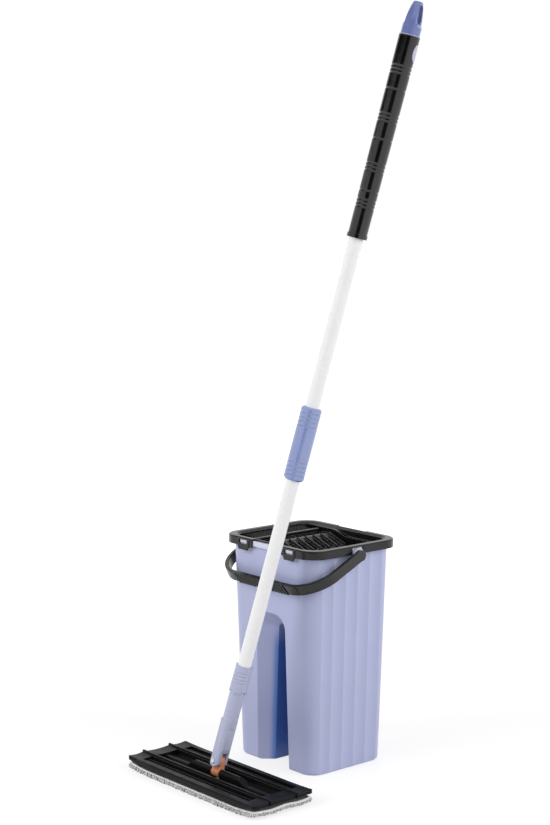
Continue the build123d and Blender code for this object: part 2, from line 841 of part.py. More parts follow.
def make_end_plug():
    """The plug that closes the lower tube and seats in the socket."""
    bore = tube_radius - tube_wall - press_gap
    plug = cyl_z(bore, tube_start, tube_start + plug_length)
    return plug + cyl_z(plug_spigot, tube_start - plug_spigot_length, tube_start)


def make_lower_insert():
    """The plug in the lower tube's top, with its screw stud."""
    bore = tube_radius - tube_wall - press_gap
    plug = cyl_z(bore, tube_joint - insert_length, tube_joint)
    return plug + cyl_z(stud_screw_radius, tube_joint, tube_joint + stud_screw_length)


def make_upper_insert():
    """The bush in the upper tube's foot that takes the screw stud."""
    bore = tube_radius - tube_wall - press_gap
    bush = cyl_z(bore, tube_joint + seat_gap, tube_joint + insert_length)
    return bush - cyl_z(stud_screw_radius + press_gap, 0, tube_joint + stud_screw_length + seat_gap)


def make_sleeve():
    """The coupling sleeve over the joint of the tubes, ringed at both ends."""
    bore = tube_radius + press_gap
    low_rings = [sleeve_start + sleeve_ring_margin + n * sleeve_ring_pitch for n in range(ring_count)]
    high_rings = [sleeve_start + sleeve_end - z for z in reversed(low_rings)]
    small = sleeve_radius - sleeve_round
    points = [(bore, sleeve_start), (small, sleeve_start), (sleeve_radius, sleeve_start + sleeve_round)]
    for centre in low_rings + high_rings:
        points += ring_points(lambda z: sleeve_radius, centre, ring_width, ring_depth)
    points += [(sleeve_radius, sleeve_end - sleeve_round), (small, sleeve_end), (bore, sleeve_end)]
    return turned(points)


def grip_radius(z):
    """The grip's outside radius at a station."""
    share = (z - grip_start) / (grip_end - grip_start)
    return grip_radius_low + (grip_radius_top - grip_radius_low) * share


def inlay_prism(grow):
    """The inlay's oval, run out through one side of the grip."""
    face = Ellipse(inlay_width / 2 + grow, inlay_height / 2 + grow)
    side = Plane(origin=(0, 0, inlay_station), x_dir=(0, 1, 0), z_dir=(1, 0, 0))
    return extrude(side * face, amount=2 * cap_radius)


def make_grip():
    """The black sleeve with groups of ring grooves and a pocket for the inlay."""
    bore = tube_radius + press_gap
    centres = sorted(grip_lines + [c + n * grip_groove_pitch for c in grip_groups for n in (-1, 0, 1)])
    lip_top = grip_start + grip_lip
    points = [(bore, grip_start), (grip_lip_radius, grip_start)]
    points += [(grip_lip_radius, lip_top), (grip_radius(lip_top), lip_top)]
    for centre in centres:
        points += ring_points(grip_radius, centre, grip_groove_width, grip_groove_depth)
    points += [(grip_radius(grip_end), grip_end), (bore, grip_end)]
    bed = grip_radius(inlay_station) - inlay_depth
    pocket = inlay_prism(press_gap) - cyl_z(bed - press_gap, grip_start, grip_end)
    return turned(points) - pocket


def make_inlay():
    """The plain oval inlay on the grip."""
    face = grip_radius(inlay_station)
    band = cyl_z(face + inlay_proud, grip_start, grip_end)
    band -= cyl_z(face - inlay_depth, grip_start, grip_end)
    return inlay_prism(0) & band


def make_cap():
    """The hanging cap: a tapered dome with flats and an eye through it."""
    base = grip_end
    tip = base + cap_length
    bore = tube_radius - tube_wall - press_gap
    shoulder = base + cap_shoulder
    tip_edge = (cap_tip_radius, tip - cap_lip)
    outline = [
        Line((0, base - cap_shank), (bore, base - cap_shank)),
        Line((bore, base - cap_shank), (bore, base)),
        Line((bore, base), (cap_radius + cap_lip, base)),
        Line((cap_radius + cap_lip, base), (cap_radius + cap_lip, base + cap_rim)),
        Line((cap_radius + cap_lip, base + cap_rim), (cap_radius, base + cap_rim)),
        Line((cap_radius, base + cap_rim), (cap_radius, shoulder)),
        ThreePointArc((cap_radius, shoulder), (cap_waist, (shoulder + tip) / 2), tip_edge),
        Line(tip_edge, (cap_tip_radius - cap_lip, tip)),
        Line((cap_tip_radius - cap_lip, tip), (0, tip)),
        Line((0, tip), (0, base - cap_shank)),
    ]
    upright = Plane(origin=(0, 0, 0), x_dir=(1, 0, 0), z_dir=(0, -1, 0))
    cap = revolve(upright * make_face(outline), axis=Axis.Z)
    clear = cap_radius + cap_rim
    points = [(cap_flat_tip / 2, tip), (cap_flat / 2, shoulder)]
    points += [(clear, shoulder - cap_flat_rise), (clear, tip)]
    side_cut = extrude(upright * make_face(Polyline(points, close=True)), amount=far, both=True)
    cap = cap - side_cut - mirror(side_cut, about=Plane.YZ)
    eye_middle = tip - eye_from_tip - eye_length / 2
    eye_plane = Plane(origin=(0, 0, eye_middle), x_dir=(0, 0, 1), z_dir=(1, 0, 0))
    eye = extrude(eye_plane * SlotOverall(eye_length, eye_width), amount=far, both=True)
    return cap - eye


# Where the pieces stand
head_place = Pos(plate_x, plate_y, 0)
yoke_place = Pos(plate_x, plate_y, trunnion_z) * Rot(-tilt_angle, 0, 0)
pole_place = yoke_place * Pos(0, 0, axis_step) * Rot(0, fold_angle, 0)
grip_place = pole_place * Rot(0, 0, grip_angle)

pieces = {
    "bucket_body": make_bucket(),
    "cover_tray": make_cover(),
    "washboard": make_washboard(),
    "scraper_bar": make_scraper_bar(),
    "drain_ramp": make_drain_ramp(),
    "squeegee_frame": make_squeegee_frame(),
    "squeegee_lip_left": make_squeegee_lip(-1),
    "squeegee_lip_right": make_squeegee_lip(1),
    "bail_handle": make_bail(),
    "mop_plate": head_place * make_plate(),
    "microfibre_pad": head_place * make_pad(),
    "hook_strip_front": head_place * make_strip(-1),
    "hook_strip_back": head_place * make_strip(1),
    "trunnion_pin": head_place * make_trunnion_pin(),
    "yoke": yoke_place * make_yoke(),
    "hinge_pin": pole_place * make_hinge_pin(),
    "pole_socket": pole_place * make_socket(),
    "socket_collar": pole_place * make_collar(),
    "tube_end_plug": pole_place * make_end_plug(),
    "lower_tube": pole_place * make_tube(tube_start, tube_joint),
    "lower_insert": pole_place * make_lower_insert(),
    "coupling_sleeve": pole_place * make_sleeve(),
    "upper_insert": pole_place * make_upper_insert(),
    "upper_tube": pole_place * make_tube(tube_joint + seat_gap, tube_end),
    "grip": grip_place * make_grip(),
    "grip_inlay": grip_place * make_inlay(),
    "hanging_cap": grip_place * make_cap(),
}

os.makedirs("parts", exist_ok=True)
for name, piece in pieces.items():
    export_step(piece, f"parts/{name}.step")
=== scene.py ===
import logging
import math
import random
from dataclasses import dataclass
from enum import Enum

import bmesh
import bpy
from mathutils import Matrix, Vector


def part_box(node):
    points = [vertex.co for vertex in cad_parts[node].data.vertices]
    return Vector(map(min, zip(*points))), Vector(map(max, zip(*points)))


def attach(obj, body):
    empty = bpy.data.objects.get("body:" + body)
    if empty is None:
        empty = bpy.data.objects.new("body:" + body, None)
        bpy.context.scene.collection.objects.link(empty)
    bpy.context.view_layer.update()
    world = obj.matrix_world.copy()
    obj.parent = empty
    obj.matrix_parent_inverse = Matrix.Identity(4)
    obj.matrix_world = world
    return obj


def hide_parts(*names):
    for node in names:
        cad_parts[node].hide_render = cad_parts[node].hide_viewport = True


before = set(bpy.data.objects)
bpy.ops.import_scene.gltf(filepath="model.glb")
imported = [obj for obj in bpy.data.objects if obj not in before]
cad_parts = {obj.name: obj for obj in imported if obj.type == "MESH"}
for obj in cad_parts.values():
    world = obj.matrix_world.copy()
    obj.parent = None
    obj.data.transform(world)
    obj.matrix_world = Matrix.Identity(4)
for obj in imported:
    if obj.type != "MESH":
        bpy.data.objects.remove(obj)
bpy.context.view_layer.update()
LOG = logging.getLogger("flat_mop")

Colour = tuple[float, float, float]
Place = tuple[float, float, float]
Angles = tuple[float, float, float]
Tree = bpy.types.NodeTree
Socket = bpy.types.NodeSocket
Shape = bmesh.types.BMesh

ORIGIN: Place = (0.0, 0.0, 0.0)
BEVEL_SAMPLES = 6
BUMP_STRENGTH = 0.6
NOISE_DETAIL = 4.0
# The part of a noise's range that is stretched over a whole one
NOISE_LOW = 0.3
NOISE_HIGH = 0.7
# Cosines between a face and its rounded edge: full painted highlight, and none at all
FULL_HIGHLIGHT_BEND = 0.8
NO_HIGHLIGHT_BEND = 0.99
# The colour of the painted highlight along upward-facing edges
EDGE_HIGHLIGHT_COLOUR: Colour = (0.6, 0.6, 0.62)
# Length of one band of the wave texture at a scale of 1
WAVE_PERIOD = 0.314


def grey(value: float) -> tuple[float, float, float, float]:
    """An opaque grey of a given brightness."""
    return (value, value, value, 1.0)


def turned(degrees: float, axis: str) -> Matrix:
    """The matrix of a turn about one axis through the origin.

    Args:
        degrees: How far it turns.
        axis: X, Y or Z.

    Returns:
        A 4 by 4 matrix.
    """
    return Matrix.Rotation(math.radians(degrees), 4, axis)


class Grain(Enum):
    """How the fine texture of a finish is stretched along X, Y and Z."""

    EVEN = (1.0, 1.0, 1.0)
    CROSSWAYS = (0.05, 1.0, 1.0)


@dataclass(frozen=True)
class Finish:
    """One surface: a wandering colour, uneven gloss and fine grain, on Object coordinates."""

    name: str
    colour: Colour
    drift: float = 0.04
    drift_size: float = 0.03
    roughness: float = 0.4
    gloss_drift: float = 0.06
    grain_size: float = 0.0012
    grain_height: float = 0.00002
    grain: Grain = Grain.EVEN
    metallic: float = 0.0
    specular: float = 0.5
    sheen: float = 0.0
    edge_round: float = 0.0006
    # How strong the painted highlight along upward-facing edges is
    edge_highlight: float = 0.0

    def material(self) -> bpy.types.Material:
        """Make the node material once and hand it out again after that.

        Returns:
            The material of this finish.
        """
        label = f"{self.name}_finish"
        known = bpy.data.materials.get(label)
        if known:
            return known
        made = bpy.data.materials.new(label)
        made.use_nodes = True
        tree = made.node_tree
        shader = tree.nodes["Principled BSDF"]
        shader.inputs["Metallic"].default_value = self.metallic
        shader.inputs["Specular IOR Level"].default_value = self.specular
        shader.inputs["Sheen Weight"].default_value = self.sheen
        place = tree.nodes.new("ShaderNodeTexCoord").outputs["Object"]
        rounded = tree.nodes.new("ShaderNodeBevel")
        rounded.samples = BEVEL_SAMPLES
        rounded.inputs["Radius"].default_value = self.edge_round
        colour = self.highlight_edges(tree, self.tone(tree, place), rounded.outputs["Normal"])
        tree.links.new(colour, shader.inputs["Base Color"])
        tree.links.new(self.gloss(tree, place), shader.inputs["Roughness"])
        relief = self.relief(tree, place)
        tree.links.new(rounded.outputs["Normal"], relief.inputs["Normal"])
        tree.links.new(relief.outputs["Normal"], shader.inputs["Normal"])
        return made

    def highlight_edges(self, tree: Tree, colour: Socket, rounded: Socket) -> Socket:
        """Paint a highlight along the edges that look up: paler colour where the rounded normal
        bends away from the face and points upwards.

        Args:
            tree: The material's node tree.
            colour: The colour away from the edges.
            rounded: The normal with its edges rounded.

        Returns:
            The colour with its painted edge highlight.
        """
        if not self.edge_highlight:
            return colour
        faced = tree.nodes.new("ShaderNodeNewGeometry")
        bend = tree.nodes.new("ShaderNodeVectorMath")
        bend.operation = "DOT_PRODUCT"
        tree.links.new(faced.outputs["Normal"], bend.inputs[0])
        tree.links.new(rounded, bend.inputs[1])
        share = tree.nodes.new("ShaderNodeMapRange")
        share.inputs["From Min"].default_value = FULL_HIGHLIGHT_BEND
        share.inputs["From Max"].default_value = NO_HIGHLIGHT_BEND
        share.inputs["To Min"].default_value = self.edge_highlight
        share.inputs["To Max"].default_value = 0.0
        tree.links.new(bend.outputs["Value"], share.inputs["Value"])
        # Painted highlight: kept only where the rounded normal points upwards, towards the light
        split = tree.nodes.new("ShaderNodeSeparateXYZ")
        tree.links.new(rounded, split.inputs[0])
        upper = tree.nodes.new("ShaderNodeMath")
        upper.operation = "MULTIPLY"
        upper.use_clamp = True
        tree.links.new(share.outputs["Result"], upper.inputs[0])
        tree.links.new(split.outputs["Z"], upper.inputs[1])
        highlighted = tree.nodes.new("ShaderNodeMix")
        highlighted.data_type = "RGBA"
        highlighted.inputs[7].default_value = (*EDGE_HIGHLIGHT_COLOUR, 1.0)
        tree.links.new(upper.outputs[0], highlighted.inputs[0])
        tree.links.new(colour, highlighted.inputs[6])
        return highlighted.outputs[2]

    def noise(self, tree: Tree, place: Socket, size: float) -> Socket:
        """Add a noise of a given feature size.

        Args:
            tree: The material's node tree.
            place: The coordinates that the noise reads.
            size: The size of its features in metres.

        Returns:
            The noise's value, from 0 to 1.
        """
        node = tree.nodes.new("ShaderNodeTexNoise")
        node.inputs["Scale"].default_value = 1.0 / size
        node.inputs["Detail"].default_value = NOISE_DETAIL
        tree.links.new(place, node.inputs["Vector"])
        return node.outputs["Fac"]

    def between(self, tree: Tree, value: Socket, low: float, high: float) -> Socket:
        """Stretch the middle of a noise over a range.

        Args:
            tree: The material's node tree.
            value: The noise's value.
            low: What the noise's low end becomes.
            high: What its high end becomes.

        Returns:
            The stretched value.
        """
        node = tree.nodes.new("ShaderNodeMapRange")
        node.inputs["From Min"].default_value = NOISE_LOW
        node.inputs["From Max"].default_value = NOISE_HIGH
        node.inputs["To Min"].default_value = low
        node.inputs["To Max"].default_value = high
        tree.links.new(value, node.inputs["Value"])
        return node.outputs["Result"]

    def falling(self, tree: Tree, value: Socket, start: float, stop: float) -> Socket:
        """A value that falls smoothly from 1 to 0.

        Args:
            tree: The material's node tree.
            value: What is measured.
            start: Where the fall begins.
            stop: Where it has reached 0.

        Returns:
            The falling value.
        """
        node = tree.nodes.new("ShaderNodeMapRange")
        node.interpolation_type = "SMOOTHSTEP"
        node.inputs["From Min"].default_value = start
        node.inputs["From Max"].default_value = stop
        node.inputs["To Min"].default_value = 1.0
        node.inputs["To Max"].default_value = 0.0
        tree.links.new(value, node.inputs["Value"])
        return node.outputs["Result"]

    def mixed(self, tree: Tree, share: Socket, first: Colour, second: Colour) -> Socket:
        """Mix two colours by a share.

        Args:
            tree: The material's node tree.
            share: How much of the second colour shows.
            first: The colour at a share of 0.
            second: The colour at a share of 1.

        Returns:
            The mixed colour.
        """
        node = tree.nodes.new("ShaderNodeMix")
        node.data_type = "RGBA"
        node.inputs[6].default_value = (*first, 1.0)
        node.inputs[7].default_value = (*second, 1.0)
        tree.links.new(share, node.inputs[0])
        return node.outputs[2]

    def stretched(self, tree: Tree, place: Socket) -> Socket:
        """Stretch the coordinates along the finish's grain.

        Args:
            tree: The material's node tree.
            place: The plain coordinates.

        Returns:
            The stretched coordinates.
        """
        if self.grain is Grain.EVEN:
            return place
        node = tree.nodes.new("ShaderNodeMapping")
        node.inputs["Scale"].default_value = self.grain.value
        tree.links.new(place, node.inputs["Vector"])
        return node.outputs["Vector"]

    def tone(self, tree: Tree, place: Socket) -> Socket:
        """Colour that wanders a little round the finish's own.

        Args:
            tree: The material's node tree.
            place: The coordinates to read.

        Returns:
            The colour.
        """
        share = self.between(tree, self.noise(tree, place, self.drift_size), 0.0, 1.0)
        dark = tuple(c * (1.0 - self.drift) for c in self.colour)
        light = tuple(min(1.0, c * (1.0 + self.drift)) for c in self.colour)
        return self.mixed(tree, share, dark, light)

    def gloss(self, tree: Tree, place: Socket) -> Socket:
        """Roughness with faint handling marks.

        Args:
            tree: The material's node tree.
            place: The coordinates to read.

        Returns:
            The roughness.
        """
        marks = self.noise(tree, self.stretched(tree, place), self.drift_size / 3.0)
        low = self.roughness - self.gloss_drift
        return self.between(tree, marks, low, self.roughness + self.gloss_drift)

    def relief(self, tree: Tree, place: Socket) -> bpy.types.Node:
        """The fine grain as a bump.

        Args:
            tree: The material's node tree.
            place: The coordinates to read.

        Returns:
            The bump node.
        """
        bump = tree.nodes.new("ShaderNodeBump")
        bump.inputs["Strength"].default_value = BUMP_STRENGTH
        bump.inputs["Distance"].default_value = self.grain_height
        height = self.noise(tree, self.stretched(tree, place), self.grain_size)
        tree.links.new(height, bump.inputs["Height"])
        return bump


@dataclass(frozen=True)
class LeggedPlastic(Finish):
    """The bucket's plastic, with painted shade deepening it to navy inside the tunnel between its
    legs and a painted highlight paling it above the lip's height.
    """

    # Painted shade: the navy that the tunnel between the legs is deepened to, fading out sideways
    # and above the arch
    tunnel_shade: Colour = (0.09, 0.195, 0.52)
    half_gap: float = 0.0198
    gap_lean: float = 0.04
    gap_fade: float = 0.009
    arch_top: float = 0.19
    arch_fade: float = 0.05
    # Painted highlight: the pale colour of all the shell above a set height, on the lip, its
    # catches and the tops of the bail ears
    lip: Colour = (0.62, 0.635, 0.77)
    lip_highlight_from: float = 0.3655
    lip_highlight_fade: float = 0.001

    def tone(self, tree: Tree, place: Socket) -> Socket:
        """Colour with painted shade that deepens it inside the tunnel between the legs, and a
        painted highlight that pales it above the lip's height.

        Args:
            tree: The material's node tree.
            place: The coordinates to read.

        Returns:
            The colour.
        """
        plain = super().tone(tree, place)
        split = tree.nodes.new("ShaderNodeSeparateXYZ")
        tree.links.new(place, split.inputs[0])
        aside = tree.nodes.new("ShaderNodeMath")
        aside.operation = "ABSOLUTE"
        tree.links.new(split.outputs["X"], aside.inputs[0])
        drafted = tree.nodes.new("ShaderNodeMath")
        drafted.operation = "MULTIPLY_ADD"
        drafted.inputs[1].default_value = self.gap_lean
        tree.links.new(split.outputs["Z"], drafted.inputs[0])
        tree.links.new(aside.outputs[0], drafted.inputs[2])
        height = split.outputs["Z"]
        gap_end = self.half_gap + self.gap_fade
        across = self.falling(tree, drafted.outputs[0], self.half_gap, gap_end)
        upward = self.falling(tree, height, self.arch_top, self.arch_top + self.arch_fade)
        both = tree.nodes.new("ShaderNodeMath")
        both.operation = "MULTIPLY"
        tree.links.new(across, both.inputs[0])
        tree.links.new(upward, both.inputs[1])
        # Mix in the painted tunnel shade
        node = tree.nodes.new("ShaderNodeMix")
        node.data_type = "RGBA"
        node.inputs[7].default_value = (*self.tunnel_shade, 1.0)
        tree.links.new(both.outputs[0], node.inputs[0])
        tree.links.new(plain, node.inputs[6])
        # Mix in the painted highlight above the lip's height
        lip_highlighted = tree.nodes.new("ShaderNodeMix")
        lip_highlighted.data_type = "RGBA"
        lip_highlighted.inputs[6].default_value = (*self.lip, 1.0)
        below = self.falling(tree, height, self.lip_highlight_from, self.lip_highlight_from + self.lip_highlight_fade)
        tree.links.new(below, lip_highlighted.inputs[0])
        tree.links.new(node.outputs[2], lip_highlighted.inputs[7])
        return lip_highlighted.outputs[2]


@dataclass(frozen=True)
class WovenTape(Finish):
    """A hem of fine woven tape, ribbed across its run."""

    rib: float = 0.0009
    wobble: float = 1.5

    def relief(self, tree: Tree, place: Socket) -> bpy.types.Node:
        """The tape's ribs as a bump.

        Args:
            tree: The material's node tree.
            place: The coordinates to read.

        Returns:
            The bump node.
        """
        bump = super().relief(tree, place)
        wave = tree.nodes.new("ShaderNodeTexWave")
        wave.bands_direction = "DIAGONAL"
        wave.inputs["Scale"].default_value = WAVE_PERIOD / self.rib
        wave.inputs["Distortion"].default_value = self.wobble
        tree.links.new(place, wave.inputs["Vector"])
        tree.links.new(wave.outputs["Fac"], bump.inputs["Height"])
        return bump


LILAC_SHELL = LeggedPlastic(
    "lilac_shell", (0.42, 0.45, 0.665), drift=0.02, drift_size=0.08, roughness=0.36,
    grain_size=0.0016, edge_round=0.0008, edge_highlight=0.5,
)
LILAC_FITTING = Finish(
    "lilac_fitting", (0.42, 0.44, 0.60), drift=0.02, roughness=0.28, edge_highlight=0.7,
)
BLUE_SLEEVE = Finish(
    "blue_sleeve", (0.225, 0.28, 0.53), drift=0.03, roughness=0.14, specular=1.0, edge_highlight=0.6,
)
SLATE_CAP = Finish(
    "slate_cap", (0.15, 0.18, 0.40), drift=0.03, roughness=0.16, specular=0.6,
)
PALE_INLAY = Finish(
    "pale_inlay", (0.49, 0.46, 0.60), drift=0.03, drift_size=0.006, roughness=0.45,
)
BLACK_COVER = Finish(
    "black_cover", (0.005, 0.005, 0.0055), drift=0.2, roughness=0.24, specular=0.36,
    grain_height=0.00003, edge_round=0.0009, edge_highlight=0.55,
)
BLACK_GRATE = Finish(
    "black_grate", (0.005, 0.005, 0.0055), drift=0.2, roughness=0.3, specular=0.2,
    edge_round=0.0007, edge_highlight=0.9,
)
BLACK_BOARD = Finish(
    "black_board", (0.005, 0.005, 0.0055), drift=0.2, roughness=0.45, specular=0.04,
    edge_highlight=0.05,
)
BLACK_BAIL = Finish(
    "black_bail", (0.006, 0.006, 0.0065), drift=0.2, roughness=0.2, specular=0.5, edge_highlight=0.3,
)
BLACK_PLATE = Finish(
    "black_plate", (0.006, 0.006, 0.0065), drift=0.2, roughness=0.4, specular=0.12,
    grain_height=0.00004, edge_highlight=0.22,
)
BLACK_GRIP = Finish(
    "black_grip", (0.005, 0.005, 0.0055), drift=0.2, roughness=0.14, specular=0.62,
    grain_size=0.0009, edge_highlight=0.08,
)
RUBBER = Finish(
    "squeegee_rubber", (0.03, 0.03, 0.032), drift=0.15, roughness=0.7, specular=0.3,
)
WHITE_TUBE = Finish(
    "white_tube", (0.84, 0.84, 0.85), drift=0.01, roughness=0.26, gloss_drift=0.03,
    grain_height=0.000004,
)
ORANGE_YOKE = Finish(
    "orange_yoke", (0.57, 0.22, 0.10), drift=0.08, drift_size=0.006, roughness=0.40,
)
STEEL = Finish(
    "drawn_steel", (0.72, 0.72, 0.73), roughness=0.28, metallic=1.0,
    grain=Grain.CROSSWAYS, grain_height=0.00001,
)
GREY_INSERT = Finish("grey_insert", (0.30, 0.30, 0.32), roughness=0.55)
HOOK_TAPE = Finish(
    "hook_tape", (0.08, 0.08, 0.085), drift=0.4, drift_size=0.0012, roughness=0.9,
    grain_height=0.0003,
)
# Dark grey: painted shade that shows in the gaps between the pale yarn loops
MICROFIBRE_PAINTED_SHADE = Finish(
    "microfibre", (0.16, 0.155, 0.155), drift=0.3, drift_size=0.003, roughness=0.95,
    grain_height=0.0006, sheen=0.25,
)
HEM_TAPE = WovenTape(
    "hem_tape", (0.80, 0.79, 0.79), drift=0.08, drift_size=0.006, roughness=0.85,
    grain_height=0.0002, sheen=0.2,
)
LOOP_YARN = Finish(
    "loop_yarn", (0.60, 0.585, 0.585), drift=0.35, drift_size=0.003, roughness=0.95,
    grain_size=0.0005, grain_height=0.0003, sheen=0.25,
)


def dress(node: str, finish: Finish) -> None:
    """Give a CAD node its finish through its material slots.

    Args:
        node: The node's name.
        finish: The finish that it gets.
    """
    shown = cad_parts[node]
    if not shown.material_slots:
        shown.data.materials.append(finish.material())
    for place in shown.material_slots:
        place.material = finish.material()
    LOG.info("dressed %s in %s", node, finish.name)


def new_piece(name: str, shape: Shape, finish: Finish, body: str) -> bpy.types.Object:
    """Turn a bmesh into a finished piece that rides on a body.

    Args:
        name: The piece's name.
        shape: Its mesh, which is freed.
        finish: Its finish.
        body: The CAD body that it moves with.

    Returns:
        The piece's object, at the origin.
    """
    mesh = bpy.data.meshes.new(name)
    shape.to_mesh(mesh)
    shape.free()
    mesh.materials.append(finish.material())
    made = bpy.data.objects.new(name, mesh)
    bpy.context.scene.collection.objects.link(made)
    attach(made, body)
    LOG.info("made %s with %d faces", name, len(mesh.polygons))
    return made


def smooth(shape: Shape) -> None:
    """Shade every face of a bmesh smoothly."""
    for face in shape.faces:
        face.smooth = True


@dataclass(frozen=True)
class Softbox:
    """One soft rectangular lamp: where it hangs, its size in metres and its power in watts."""

    name: str
    at: Place
    width: float
    height: float
    power: float

    def hang(self, target: Vector) -> None:
        """Hang the lamp so that it faces a target.

        Args:
            target: The place that it lights.
        """
        data = bpy.data.lights.new(self.name, "AREA")
        data.shape = "RECTANGLE"
        data.size = self.width
        data.size_y = self.height
        data.energy = self.power
        lamp = bpy.data.objects.new(self.name, data)
        lamp.location = self.at
        lamp.rotation_euler = (target - Vector(self.at)).to_track_quat("-Z", "Y").to_euler()
        lamp.visible_camera = False
        lamp.visible_glossy = False
        bpy.context.scene.collection.objects.link(lamp)


@dataclass(frozen=True)
class Flag:
    """A dark upright flag that only reflections show, to give glossy plastic its shape."""

    name: str
    turn: float
    reach: float
    width: float
    foot: float
    height: float

    def stand(self) -> None:
        """Stand the flag up, with its face towards the object."""
        shape = bmesh.new()
        bmesh.ops.create_grid(shape, x_segments=1, y_segments=1, size=0.5)
        bmesh.ops.scale(shape, verts=shape.verts[:], vec=(self.width, self.height, 1.0))
        away = Matrix.Translation((self.reach, 0.0, self.foot + self.height / 2.0))
        stand = turned(self.turn, "Z") @ away
        upright = turned(90.0, "Z") @ turned(90.0, "X")
        bmesh.ops.transform(shape, matrix=stand @ upright, verts=shape.verts[:])
        mesh = bpy.data.meshes.new(self.name)
        shape.to_mesh(mesh)
        shape.free()
        mesh.materials.append(self.cloth())
        flag = bpy.data.objects.new(self.name, mesh)
        flag.visible_camera = False
        flag.visible_diffuse = False
        flag.visible_shadow = False
        flag.visible_transmission = False
        bpy.context.scene.collection.objects.link(flag)

    def cloth(self) -> bpy.types.Material:
        """The flag's black cloth.

        Returns:
            A material without any shine.
        """
        made = bpy.data.materials.new(f"{self.name}_cloth")
        made.use_nodes = True
        shader = made.node_tree.nodes["Principled BSDF"]
        shader.inputs["Base Color"].default_value = grey(0.0)
        shader.inputs["Specular IOR Level"].default_value = 0.0
        return made


CAMERA_FLAG = Flag("camera_flag", -48.0, 4.0, 3.0, 0.0, 2.6)
LEFT_FLAG = Flag("left_flag", -119.0, 4.0, 9.0, 2.35, 5.0)
RIGHT_SOFTBOX = Softbox("right_softbox", (2.6, 1.0, 1.6), 1.6, 2.2, 47.0)
FRONT_SOFTBOX = Softbox("front_softbox", (-0.7, -2.9, 1.7), 1.8, 2.2, 56.0)
BACK_SOFTBOX = Softbox("back_softbox", (-2.2, 1.8, 2.0), 1.6, 1.6, 20.0)


